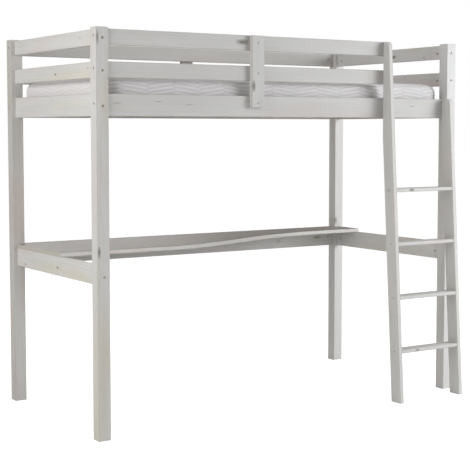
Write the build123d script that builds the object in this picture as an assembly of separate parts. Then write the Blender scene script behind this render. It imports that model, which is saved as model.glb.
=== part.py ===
from build123d import *
import math
import os
from dataclasses import dataclass

# Loft bed with a desk under it, in pine, for a 1900 x 900 mattress.
# Millimetres, +Z up, +X to the end with the ladder, -Y to the front.
# The origin is on the floor, in the middle of the plan of the whole piece.

# ---- driving dimensions: frame
LENGTH = 2000.0                # over the outer faces of the posts, along X
WIDTH = 975.0                  # over the outer faces of the posts, along Y
HEIGHT = 1750.0                # height of the posts
POST = 57.0                    # side of a post
BOARD_T = 22.0                 # thickness of every rail and guard
LONG_INSET = 12.0              # post face to the outer face of a long rail
END_INSET = 19.0               # post face to the outer face of an end rail
POST_ROUND = 2.5               # rounding of the posts' long edges
POST_TOP_CHAMFER = 1.0
RAIL_ROUND = 3.0               # rounding of the rails' long edges

# ---- driving dimensions: heights (bottom, top)
TOP_GUARD_Z = (1676.0, 1744.0)
LOWER_GUARD_Z = (1540.0, 1608.0)
BED_RAIL_Z = (1379.0, 1474.0)
DESK_RAIL_Z = (663.0, 751.0)

# ---- driving dimensions: battens that tie the guards
BATTEN_W = 68.0
BATTEN_T = 20.0
BATTEN_Z = (1422.0, 1744.0)
FRONT_BATTEN_X = -197.5

# ---- driving dimensions: ladder
STILE_T = 20.0                 # thickness of a stile, along X
STILE_W = 68.0                 # width of a stile, square to its length
LADDER_REACH = 140.5           # how far its foot stands in front of the posts
LADDER_LEAN = 3.74             # lean from upright, degrees
LADDER_OUTER = 400.0           # over both stiles
LADDER_TOP_ROUND = 26.0
STEP_T = 18.0
STEP_D = 64.0
STEP_SET_BACK = 2.0            # stile's front edge to the step's front edge
STEP_ROUND = 2.5
STEP_FIRST = 249.0             # mid-height of the lowest step
STEP_PITCH = 260.0
STEP_COUNT = 4

# ---- driving dimensions: desk board
DESK_T = 18.0
DESK_DEEP = 560.0              # back of the posts to the front edge, left part
DESK_SHALLOW = 228.0           # the same, right part
DESK_CURVE_X = (-440.0, 740.0)  # where the front edge starts and ends its S
DESK_CURVE_PULL = (0.33, 0.45)  # share of the S that leaves each end straight
DESK_CORNER = 4.0
DESK_CLEAR = 1.0               # gap between the notches and the back posts

# ---- driving dimensions: bed base and mattress
CLEAT = 22.0
CLEAT_Z = 1384.0
CLEAT_ROUND = 1.5
SLAT_COUNT = 14
SLAT_W = 68.0
SLAT_T = 14.0
SLAT_ROUND = 2.0
SLAT_END_GAP = 2.0
MATTRESS_L = 1890.0
MATTRESS_W = 890.0
MATTRESS_T = 124.7
MATTRESS_CORNER = 55.0
MATTRESS_EDGE = 36.0           # rounding of the top and bottom rims
SOFT_GAP = 0.3                 # air kept between the mattress and the slats

# ---- driving dimensions: fasteners
BOLT_R = 3.0
BOLT_L = 90.0
BOLT_HEAD_R = 5.0
BOLT_HEAD_H = 6.0
BOLT_SOCKET_R = 2.9            # hexagon socket, to its corners
BOLT_SINK = 9.0                # depth of the counterbore in the post
BOLT_STAGGER = 5.0             # up for bolts along X, down for bolts along Y
NUT_R = 5.0
NUT_L = 14.0
NUT_FROM_END = 33.0
NUT_SLOT = 1.4                 # width and depth of the slot in a nut's open end
DOWEL_R = 4.0
DOWEL_L = 30.0
DOWEL_CHAMFER = 0.8
DOWEL_FROM_EDGE = 12.0         # a rail's edge to the middle of its dowel
STEP_DOWEL_L = 24.0
STEP_DOWEL_IN_STILE = 11.0
STEP_DOWEL_OFFSET = 20.0       # to each side of the screw in a step's end
SCREW_R = 2.0
SCREW_HEAD_R = 4.0
SCREW_HEAD_H = 3.0
SCREW_HEAD_CHAMFER = 0.8
RECESS = (4.2, 1.0, 1.6)       # cross recess in a screw's head: length, width, depth
SCREW_SINK = 3.6
BATTEN_SCREW_L = 34.0
BATTEN_SCREW_UP = 19.0         # lowest screw above the batten's foot
CLEAT_SCREW_L = 34.0
CLEAT_SCREW_EVERY = 3          # one screw for this many slats
SLAT_SCREW_L = 25.0
STEP_SCREW_L = 50.0
LADDER_SCREW_L = 44.0
LADDER_SCREW_DROPS = (28.0, 62.0)  # below the side rail's top, clear of its bolts and dowels
HOLE_CLEAR = 0.12              # radial air round every pin, screw and bolt
HOLE_EXTRA = 2.0               # depth of a hole past the end of what is in it
HEAD_CLEAR = 0.7               # radial air round a sunk head
BRACKET = 26.0                 # leg of a desk bracket
BRACKET_T = 2.0
BRACKET_W = 18.0
BRACKET_HOLE = 15.6            # corner of a bracket to its screw
BRACKET_SCREW_L = 14.0
BACK_BRACKET_X = (-640.0, -100.0, 400.0)
END_BRACKET_FROM_EDGE = 120.0  # behind the board's front edge, at the left end

# ---- places worked out from the driving dimensions
BATTEN_PROUD = BATTEN_T - LONG_INSET
FRONT_Y = (LADDER_REACH - WIDTH - BATTEN_PROUD) / 2
BACK_Y = FRONT_Y + WIDTH
MID_Y = (FRONT_Y + BACK_Y) / 2
RIGHT_X = LENGTH / 2
LEFT_X = -RIGHT_X
INNER_X = RIGHT_X - POST
FRONT_RAIL_Y = FRONT_Y + LONG_INSET + BOARD_T / 2
BACK_RAIL_Y = BACK_Y - LONG_INSET - BOARD_T / 2
END_RAIL_X = RIGHT_X - END_INSET - BOARD_T / 2
LEAN_RUN = math.tan(math.radians(LADDER_LEAN))
STILE_DEPTH = STILE_W / math.cos(math.radians(LADDER_LEAN))
RIGHT_STILE_X = INNER_X - STILE_T / 2
LEFT_STILE_X = RIGHT_STILE_X - LADDER_OUTER + STILE_T
SLAT_Z = CLEAT_Z + CLEAT
SLAT_TOP = SLAT_Z + SLAT_T


@dataclass
class Board:
    """A straight board: its name, run axis, run, middle of its thickness and heights."""
    name: str
    axis: str
    run: tuple
    middle: float
    heights: tuple
    bolted: tuple = ()

    @property
    def mid_z(self):
        """Height of the board's middle line."""
        return sum(self.heights) / 2


def block(x_range, y_range, z_range):
    """A box between pairs of coordinates."""
    spans = [high - low for low, high in (x_range, y_range, z_range)]
    middle = [(low + high) / 2 for low, high in (x_range, y_range, z_range)]
    return Pos(*middle) * Box(*spans)


def rounded(shape, axis, radius):
    """The same solid with its edges along one axis rounded."""
    return fillet(shape.edges().filter_by(axis), radius)


def rod(start, direction, length, radius):
    """A cylinder from a point, along a direction."""
    return Plane(origin=start, z_dir=direction) * Pos(0, 0, length / 2) * Cylinder(radius, length)


def shifted(point, direction, distance):
    """A point moved along a direction."""
    return tuple(p + d * distance for p, d in zip(point, direction))


class Store:
    """Keeps each node's solids, and the holes that are still to be cut in it."""

    def __init__(self):
        self.solids = {}
        self.holes = {}

    def add(self, name, solid):
        """Put a solid in a node."""
        self.solids.setdefault(name, []).append(solid)

    def drill(self, name, *tools):
        """Remember what is to be cut from a node."""
        self.holes.setdefault(name, []).extend(tools)

    def finished(self, name):
        """The node's solids with their holes cut."""
        solids = self.solids[name]
        tools = self.holes.get(name)
        if tools:
            solids = [s for solid in solids for s in solid.cut(*tools).solids()]
        return solids


store = Store()


# ---- timber of the frame

def board_solid(board):
    """The plain timber of a rail or guard."""
    across = (board.middle - BOARD_T / 2, board.middle + BOARD_T / 2)
    if board.axis == "X":
        return rounded(block(board.run, across, board.heights), Axis.X, RAIL_ROUND)
    return rounded(block(across, board.run, board.heights), Axis.Y, RAIL_ROUND)


def frame_boards():
    """Every rail and guard of the frame."""
    boards = []
    y_run = (FRONT_Y + POST, BACK_Y - POST)
    levels = [("top_rail", TOP_GUARD_Z), ("middle_rail", LOWER_GUARD_Z),
              ("bed_rail", BED_RAIL_Z), ("desk_rail", DESK_RAIL_Z)]
    for side, x in (("left", -END_RAIL_X), ("right", END_RAIL_X)):
        for level, heights in levels:
            boards.append(Board(f"{side}_end_{level}", "Y", y_run, x, heights, (-1, 1)))
    full = (-INNER_X, INNER_X)
    guard = (-INNER_X, LEFT_STILE_X + STILE_T / 2)
    boards.append(Board("front_side_rail", "X", full, FRONT_RAIL_Y, BED_RAIL_Z, (-1, 1)))
    boards.append(Board("front_guard_top", "X", guard, FRONT_RAIL_Y, TOP_GUARD_Z, (-1,)))
    boards.append(Board("front_guard_lower", "X", guard, FRONT_RAIL_Y, LOWER_GUARD_Z, (-1,)))
    boards.append(Board("back_side_rail", "X", full, BACK_RAIL_Y, BED_RAIL_Z, (-1, 1)))
    boards.append(Board("back_guard_top", "X", full, BACK_RAIL_Y, TOP_GUARD_Z, (-1, 1)))
    boards.append(Board("back_guard_lower", "X", full, BACK_RAIL_Y, LOWER_GUARD_Z, (-1, 1)))
    boards.append(Board("desk_back_rail", "X", full, BACK_RAIL_Y, DESK_RAIL_Z, (-1, 1)))
    return boards


def post_name(x_sign, y_sign):
    """The node name of the post at a corner."""
    side = "left" if x_sign < 0 else "right"
    face = "front" if y_sign < 0 else "back"
    return f"post_{face}_{side}"


def add_posts():
    """Four square posts with softened edges."""
    for x_sign in (-1, 1):
        for y_sign in (-1, 1):
            x_range = sorted((x_sign * INNER_X, x_sign * RIGHT_X))
            y_outer = FRONT_Y if y_sign < 0 else BACK_Y
            y_range = sorted((y_outer, y_outer - y_sign * POST))
            post = rounded(block(x_range, y_range, (0, HEIGHT)), Axis.Z, POST_ROUND)
            rim = post.edges().group_by(Axis.Z)[-1]
            store.add(post_name(x_sign, y_sign), chamfer(rim, POST_TOP_CHAMFER))


# ---- fasteners

def bolt_solid(seat, direction):
    """A bolt whose head sits on a seat and whose shank runs along the direction."""
    back = tuple(-d for d in direction)
    shank = rod(seat, direction, BOLT_L, BOLT_R)
    head = rod(seat, back, BOLT_HEAD_H, BOLT_HEAD_R)
    socket_start = shifted(seat, back, BOLT_HEAD_H / 2)
    socket = Plane(origin=socket_start, z_dir=back) * extrude(
        RegularPolygon(BOLT_SOCKET_R, 6), BOLT_HEAD_H)
    return (shank + head - socket).solids()[0]


def screw_solid(seat, direction, length):
    """A screw with a chamfered, cross-recessed head that sits on a seat."""
    back = tuple(-d for d in direction)
    head = rod(seat, back, SCREW_HEAD_H, SCREW_HEAD_R)
    top = shifted(seat, back, SCREW_HEAD_H)
    rim = head.edges().filter_by(GeomType.CIRCLE).sort_by_distance(top)[0]
    arm, width, depth = RECESS
    cross = Box(arm, width, 2 * depth) + Box(width, arm, 2 * depth)
    screw = rod(seat, direction, length, SCREW_R) + chamfer(rim, SCREW_HEAD_CHAMFER)
    return (screw - Plane(origin=top, z_dir=back) * cross).solids()[0]


def add_screw(node, face_point, direction, length, pieces, sink=SCREW_SINK):
    """Put a screw in from a face, and cut its hole in each piece it passes."""
    seat = shifted(face_point, direction, sink)
    store.add(node, screw_solid(seat, direction, length))
    hole = rod(seat, direction, length + HOLE_EXTRA / 2, SCREW_R + HOLE_CLEAR)
    tools = [hole]
    if sink > 0:
        tools.append(rod(face_point, direction, sink, SCREW_HEAD_R + HEAD_CLEAR))
    for piece in pieces:
        store.drill(piece, *tools)


def add_dowel(start, direction, length, pieces):
    """Put a wooden dowel across a joint, and cut its hole in both pieces."""
    pin = rod(start, direction, length, DOWEL_R)
    ends = pin.edges().filter_by(GeomType.CIRCLE)
    store.add("wooden_dowels", chamfer(ends, DOWEL_CHAMFER))
    bottom = shifted(start, direction, -HOLE_EXTRA / 2)
    hole = rod(bottom, direction, length + HOLE_EXTRA, DOWEL_R + HOLE_CLEAR)
    for piece in pieces:
        store.drill(piece, hole)


def add_nut(centre, across, bolt_direction, rail):
    """Put a barrel nut across a rail, open on the rail's inner face."""
    start = shifted(centre, across, -NUT_L / 2)
    nut = rod(start, across, NUT_L, NUT_R)
    thread = rod(shifted(centre, bolt_direction, -2 * NUT_R), bolt_direction,
                 4 * NUT_R, BOLT_R + HOLE_CLEAR)
    open_end = Plane(origin=shifted(start, across, NUT_L), z_dir=across)
    slot = open_end * Box(2 * NUT_R, NUT_SLOT, 2 * NUT_SLOT)
    store.add("barrel_nuts", (nut - thread - slot).solids()[0])
    store.drill(rail, rod(start, across, BOARD_T, NUT_R + HOLE_CLEAR))


def join_to_post(board, end):
    """Bolt, barrel nut and dowels where one end of a rail meets its post."""
    rising = BOLT_STAGGER if board.axis == "X" else -BOLT_STAGGER
    bolt_z = board.mid_z + rising
    if board.axis == "X":
        post = post_name(end, -1 if board.middle < MID_Y else 1)
        outer = (end * RIGHT_X, board.middle, bolt_z)
        direction = (-end, 0, 0)
        across = (0, 1 if board.middle < MID_Y else -1, 0)
        node = "long_rail_bolts"
    else:
        post = post_name(-1 if board.middle < 0 else 1, end)
        outer = (board.middle, FRONT_Y if end < 0 else BACK_Y, bolt_z)
        direction = (0, -end, 0)
        across = (1 if board.middle < 0 else -1, 0, 0)
        node = "end_rail_bolts"
    seat = shifted(outer, direction, BOLT_SINK)
    store.add(node, bolt_solid(seat, direction))
    shank = rod(outer, direction, BOLT_SINK + BOLT_L + HOLE_EXTRA, BOLT_R + HOLE_CLEAR)
    sink = rod(outer, direction, BOLT_SINK, BOLT_HEAD_R + HEAD_CLEAR)
    store.drill(post, shank, sink)
    store.drill(board.name, shank)
    add_nut(shifted(outer, direction, POST + NUT_FROM_END), across, direction, board.name)
    reach = (board.heights[1] - board.heights[0]) / 2 - DOWEL_FROM_EDGE
    for side in (-1, 1):
        start = shifted(outer, direction, POST - DOWEL_L / 2)
        start = (start[0], start[1], board.mid_z + side * reach)
        add_dowel(start, direction, DOWEL_L, (post, board.name))


# ---- battens, ladder, desk, bed base

def batten_solid(x_middle, y_range):
    """The upright timber of a batten, between two Y faces."""
    x_range = (x_middle - BATTEN_W / 2, x_middle + BATTEN_W / 2)
    return rounded(block(x_range, y_range, BATTEN_Z), Axis.Z, RAIL_ROUND)


def add_battens():
    """An upright batten outside the rails, on the front and on the back."""
    front_face = FRONT_Y + LONG_INSET
    back_face = BACK_Y - LONG_INSET
    store.add("front_guard_batten",
              batten_solid(FRONT_BATTEN_X, (front_face - BATTEN_T, front_face)))
    store.add("back_guard_batten", batten_solid(0, (back_face, back_face + BATTEN_T)))
    screw_z = (sum(TOP_GUARD_Z) / 2, sum(LOWER_GUARD_Z) / 2, BATTEN_Z[0] + BATTEN_SCREW_UP)
    rails = ("guard_top", "guard_lower", "side_rail")
    for z, rail in zip(screw_z, rails):
        add_screw("batten_screws", (FRONT_BATTEN_X, front_face - BATTEN_T, z), (0, 1, 0),
                  BATTEN_SCREW_L, ("front_guard_batten", f"front_{rail}"))
        add_screw("batten_screws", (0, back_face + BATTEN_T, z), (0, -1, 0),
                  BATTEN_SCREW_L, ("back_guard_batten", f"back_{rail}"))


def stile_front(z):
    """Y of the ladder's front edge at a height."""
    return FRONT_Y - LADDER_REACH + z * LEAN_RUN


def stile_solid(x_middle, top):
    """A leaning stile, cut upright at the back where it lies on the rails."""
    rest_y = FRONT_Y + LONG_INSET
    bend_z = (rest_y - stile_front(0) - STILE_DEPTH) / LEAN_RUN
    outline = Polyline((stile_front(0), 0), (stile_front(0) + STILE_DEPTH, 0), (rest_y, bend_z),
                       (rest_y, top), (stile_front(top), top), close=True)
    face = make_face(outline)
    plane = Plane.YZ.offset(x_middle - STILE_T / 2)
    stile = extrude(plane * face, STILE_T)
    top_edges = stile.edges().filter_by(Axis.X).group_by(Axis.Z)[-1]
    return fillet(top_edges.sort_by(Axis.Y)[0], LADDER_TOP_ROUND)


def add_ladder():
    """Two stiles, the steps between them and what holds them."""
    store.add("ladder_stile_left", stile_solid(LEFT_STILE_X, TOP_GUARD_Z[1]))
    store.add("ladder_stile_right", stile_solid(RIGHT_STILE_X, BED_RAIL_Z[1]))
    step_x = (LEFT_STILE_X + STILE_T / 2, RIGHT_STILE_X - STILE_T / 2)
    for index in range(STEP_COUNT):
        name = f"ladder_step_{index + 1}"
        z = STEP_FIRST + index * STEP_PITCH
        front = stile_front(z) + STEP_SET_BACK
        step = block(step_x, (front, front + STEP_D), (z - STEP_T / 2, z + STEP_T / 2))
        store.add(name, rounded(step, Axis.X, STEP_ROUND))
        middle_y = stile_front(z) + STILE_DEPTH / 2
        for side, stile_x in ((-1, LEFT_STILE_X), (1, RIGHT_STILE_X)):
            stile = f"ladder_stile_{'left' if side < 0 else 'right'}"
            face = (stile_x + side * STILE_T / 2, middle_y, z)
            inward = (-side, 0, 0)
            add_screw("ladder_step_screws", face, inward, STEP_SCREW_L, (stile, name))
            for offset in (-STEP_DOWEL_OFFSET, STEP_DOWEL_OFFSET):
                start = (stile_x - side * (STILE_T / 2 - STEP_DOWEL_IN_STILE),
                         middle_y + offset, z)
                add_dowel(start, inward, STEP_DOWEL_L, (stile, name))


def add_ladder_fixings():
    """Screws from inside the bed, through guards and side rail into the stiles."""
    inner_y = FRONT_RAIL_Y + BOARD_T / 2
    places = [("ladder_stile_left", LEFT_STILE_X, "front_guard_top", sum(TOP_GUARD_Z) / 2),
              ("ladder_stile_left", LEFT_STILE_X, "front_guard_lower", sum(LOWER_GUARD_Z) / 2)]
    for stile, x in (("ladder_stile_left", LEFT_STILE_X), ("ladder_stile_right", RIGHT_STILE_X)):
        for drop in LADDER_SCREW_DROPS:
            places.append((stile, x, "front_side_rail", BED_RAIL_Z[1] - drop))
    for stile, x, rail, z in places:
        add_screw("ladder_mounting_screws", (x, inner_y, z), (0, -1, 0), LADDER_SCREW_L,
                  (rail, stile))


def desk_outline():
    """The board's plan: notched round the back posts, with an S-shaped front edge."""
    end_x = RIGHT_X - END_INSET
    notch_x = INNER_X - DESK_CLEAR
    notch_y = BACK_Y - POST - DESK_CLEAR
    back = BACK_Y - LONG_INSET
    deep = BACK_Y - DESK_DEEP
    shallow = BACK_Y - DESK_SHALLOW
    start, stop = DESK_CURVE_X
    leaving, arriving = (share * (stop - start) for share in DESK_CURVE_PULL)
    curve = Bezier((start, deep), (start + leaving, deep), (stop - arriving, shallow),
                   (stop, shallow))
    rest = Polyline((stop, shallow), (end_x, shallow), (end_x, notch_y), (notch_x, notch_y),
                    (notch_x, back), (-notch_x, back), (-notch_x, notch_y), (-end_x, notch_y),
                    (-end_x, deep), (start, deep))
    return make_face([curve, rest])


def add_desk():
    """The desk board and the small angle brackets under it."""
    board = extrude(Plane.XY.offset(DESK_RAIL_Z[1]) * desk_outline(), DESK_T)
    corners = board.edges().filter_by(Axis.Z)
    front = [edge for edge in corners if edge.center().Y < BACK_Y - DESK_SHALLOW + 1
             and abs(edge.center().X) > INNER_X]
    board = fillet(front, DESK_CORNER)
    store.add("desk_top", board)
    under_z = DESK_RAIL_Z[1]
    back_y = BACK_RAIL_Y - BOARD_T / 2
    left_x = -END_RAIL_X + BOARD_T / 2
    left_y = BACK_Y - DESK_DEEP + END_BRACKET_FROM_EDGE
    for x in BACK_BRACKET_X:
        add_bracket((x, back_y, under_z), (0, -1, 0), "desk_back_rail")
    add_bracket((left_x, left_y, under_z), (1, 0, 0), "left_end_desk_rail")


def add_bracket(corner, out, rail):
    """A steel angle in the corner of a rail and the board's underside, with its screws."""
    plane = Plane(origin=corner, x_dir=out, z_dir=(0, 0, 1))
    upright = Pos(BRACKET_T / 2, 0, -BRACKET / 2) * Box(BRACKET_T, BRACKET_W, BRACKET)
    flat = Pos(BRACKET / 2, 0, -BRACKET_T / 2) * Box(BRACKET, BRACKET_W, BRACKET_T)
    name = "desk_brackets"
    store.add(name, (plane * (upright + flat)).solids()[0])
    into_rail = shifted(shifted(corner, out, BRACKET_T), (0, 0, -1), BRACKET_HOLE)
    into_board = shifted(shifted(corner, out, BRACKET_HOLE), (0, 0, -1), BRACKET_T)
    inward = tuple(-value for value in out)
    add_screw("desk_bracket_screws", into_rail, inward, BRACKET_SCREW_L, (name, rail), sink=0)
    add_screw("desk_bracket_screws", into_board, (0, 0, 1), BRACKET_SCREW_L,
              (name, "desk_top"), sink=0)


def slat_middles():
    """X of the middle of each slat."""
    first = -INNER_X + SLAT_END_GAP + SLAT_W / 2
    step = -2 * first / (SLAT_COUNT - 1)
    return [first + index * step for index in range(SLAT_COUNT)]


def add_bed_base():
    """Cleats inside the side rails, and the slats screwed down on them."""
    run = (-INNER_X + SLAT_END_GAP, INNER_X - SLAT_END_GAP)
    rails = (("front", FRONT_RAIL_Y + BOARD_T / 2, 1), ("back", BACK_RAIL_Y - BOARD_T / 2, -1))
    middles = slat_middles()
    for side, face_y, inward in rails:
        y_range = sorted((face_y, face_y + inward * CLEAT))
        cleat = block(run, y_range, (CLEAT_Z, CLEAT_Z + CLEAT))
        store.add(f"{side}_slat_cleat", rounded(cleat, Axis.X, CLEAT_ROUND))
        for index in range(1, SLAT_COUNT, CLEAT_SCREW_EVERY):
            x = (middles[index - 1] + middles[index]) / 2
            add_screw("cleat_screws", (x, face_y + inward * CLEAT, CLEAT_Z + CLEAT / 2),
                      (0, -inward, 0), CLEAT_SCREW_L,
                      (f"{side}_slat_cleat", f"{side}_side_rail"))
    y_run = (rails[0][1] + SLAT_END_GAP, rails[1][1] - SLAT_END_GAP)
    for index, x in enumerate(middles):
        name = f"slat_{index + 1:02d}"
        slat = block((x - SLAT_W / 2, x + SLAT_W / 2), y_run, (SLAT_Z, SLAT_TOP))
        store.add(name, rounded(slat, Axis.Y, SLAT_ROUND))
        for side, face_y, inward in rails:
            add_screw("slat_screws", (x, face_y + inward * CLEAT / 2, SLAT_TOP), (0, 0, -1),
                      SLAT_SCREW_L, (name, f"{side}_slat_cleat"))


def add_mattress():
    """The loose mattress, plain, with rounded corners and softened rims."""
    z_range = (SLAT_TOP + SOFT_GAP, SLAT_TOP + SOFT_GAP + MATTRESS_T)
    pad = block((-MATTRESS_L / 2, MATTRESS_L / 2),
                (MID_Y - MATTRESS_W / 2, MID_Y + MATTRESS_W / 2), z_range)
    pad = rounded(pad, Axis.Z, MATTRESS_CORNER)
    rims = pad.edges().group_by(Axis.Z)
    store.add("mattress", fillet(rims[0] + rims[-1], MATTRESS_EDGE))


def build():
    """Make every piece, then cut its holes and write one file a node."""
    add_posts()
    for board in frame_boards():
        store.add(board.name, board_solid(board))
        for end in board.bolted:
            join_to_post(board, end)
    add_battens()
    add_ladder()
    add_ladder_fixings()
    add_desk()
    add_bed_base()
    add_mattress()
    os.makedirs("parts", exist_ok=True)
    for name in store.solids:
        solids = store.finished(name)
        shape = solids[0] if len(solids) == 1 else Compound(children=solids)
        shape.label = name
        export_step(shape, f"parts/{name}.step")


build()
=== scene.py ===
import logging
import math
import random
import zlib
from dataclasses import dataclass
from enum import Enum
from typing import Callable, Iterator, Optional, Union

import bpy
import numpy as np
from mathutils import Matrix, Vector


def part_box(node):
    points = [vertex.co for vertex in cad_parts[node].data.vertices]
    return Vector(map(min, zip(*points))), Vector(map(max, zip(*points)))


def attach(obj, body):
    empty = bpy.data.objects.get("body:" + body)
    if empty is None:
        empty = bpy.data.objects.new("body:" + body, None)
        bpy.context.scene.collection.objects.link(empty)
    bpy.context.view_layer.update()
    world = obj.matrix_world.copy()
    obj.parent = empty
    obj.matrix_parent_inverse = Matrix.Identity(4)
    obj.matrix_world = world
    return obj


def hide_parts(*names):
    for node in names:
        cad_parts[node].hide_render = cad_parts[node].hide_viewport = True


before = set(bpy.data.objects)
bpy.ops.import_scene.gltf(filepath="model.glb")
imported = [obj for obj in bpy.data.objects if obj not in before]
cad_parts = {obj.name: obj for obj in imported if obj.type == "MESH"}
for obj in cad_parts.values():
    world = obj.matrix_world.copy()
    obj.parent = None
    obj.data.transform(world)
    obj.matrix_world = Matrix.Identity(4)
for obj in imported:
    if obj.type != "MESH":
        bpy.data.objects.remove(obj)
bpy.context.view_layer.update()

logging.basicConfig(level=logging.INFO, format="%(name)s: %(message)s")
log = logging.getLogger("loft_bed")

QUILT_ATTRIBUTE = "quilt"
Colour = tuple[float, float, float, float]
Paint = Union[Colour, bpy.types.NodeSocket]
Point = tuple[float, float, float]


def srgb(red: float, green: float, blue: float) -> Colour:
    """Turn a display colour into the linear one that shaders use.

    Args:
        red: Red on the display, 0 to 255.
        green: Green on the display, 0 to 255.
        blue: Blue on the display, 0 to 255.

    Returns:
        The linear colour with full alpha.
    """
    def linear(level: float) -> float:
        """One channel, from 0 to 255 to linear."""
        share = level / 255
        return share / 12.92 if share <= 0.04045 else ((share + 0.055) / 1.055) ** 2.4

    return (linear(red), linear(green), linear(blue), 1.0)


def seeded(name: str) -> random.Random:
    """A random source that is always the same for one piece's name."""
    return random.Random(zlib.crc32(name.encode()))


# ---------------------------------------------------------------- shader maths

def operator(operation: str, flipped: bool = False) -> Callable[["Num", "Number"], "Num"]:
    """Make a Python operator that adds a Math node.

    Args:
        operation: The Math node's operation.
        flipped: True where the plain number comes first, as in 1 - mask.

    Returns:
        The operator, for use as a method of Num.
    """
    def apply(number: "Num", other: "Number") -> "Num":
        """Add the Math node."""
        first, second = (other, number) if flipped else (number, other)
        return number.shader.math(operation, first, second)

    return apply


class Num:
    """A number in a node tree. Python's operators on it add Math nodes."""

    __add__, __radd__ = operator("ADD"), operator("ADD", flipped=True)
    __sub__, __rsub__ = operator("SUBTRACT"), operator("SUBTRACT", flipped=True)
    __mul__, __rmul__ = operator("MULTIPLY"), operator("MULTIPLY", flipped=True)
    __truediv__, __rtruediv__ = operator("DIVIDE"), operator("DIVIDE", flipped=True)
    __pow__ = operator("POWER")

    def __init__(self, shader: "Shader", socket: bpy.types.NodeSocket) -> None:
        """Wrap an output socket of a shader."""
        self.shader = shader
        self.socket = socket

    def __abs__(self) -> "Num":
        """Size without sign."""
        return self.shader.math("ABSOLUTE", self, 0.0)


Number = Union[Num, float]


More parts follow.
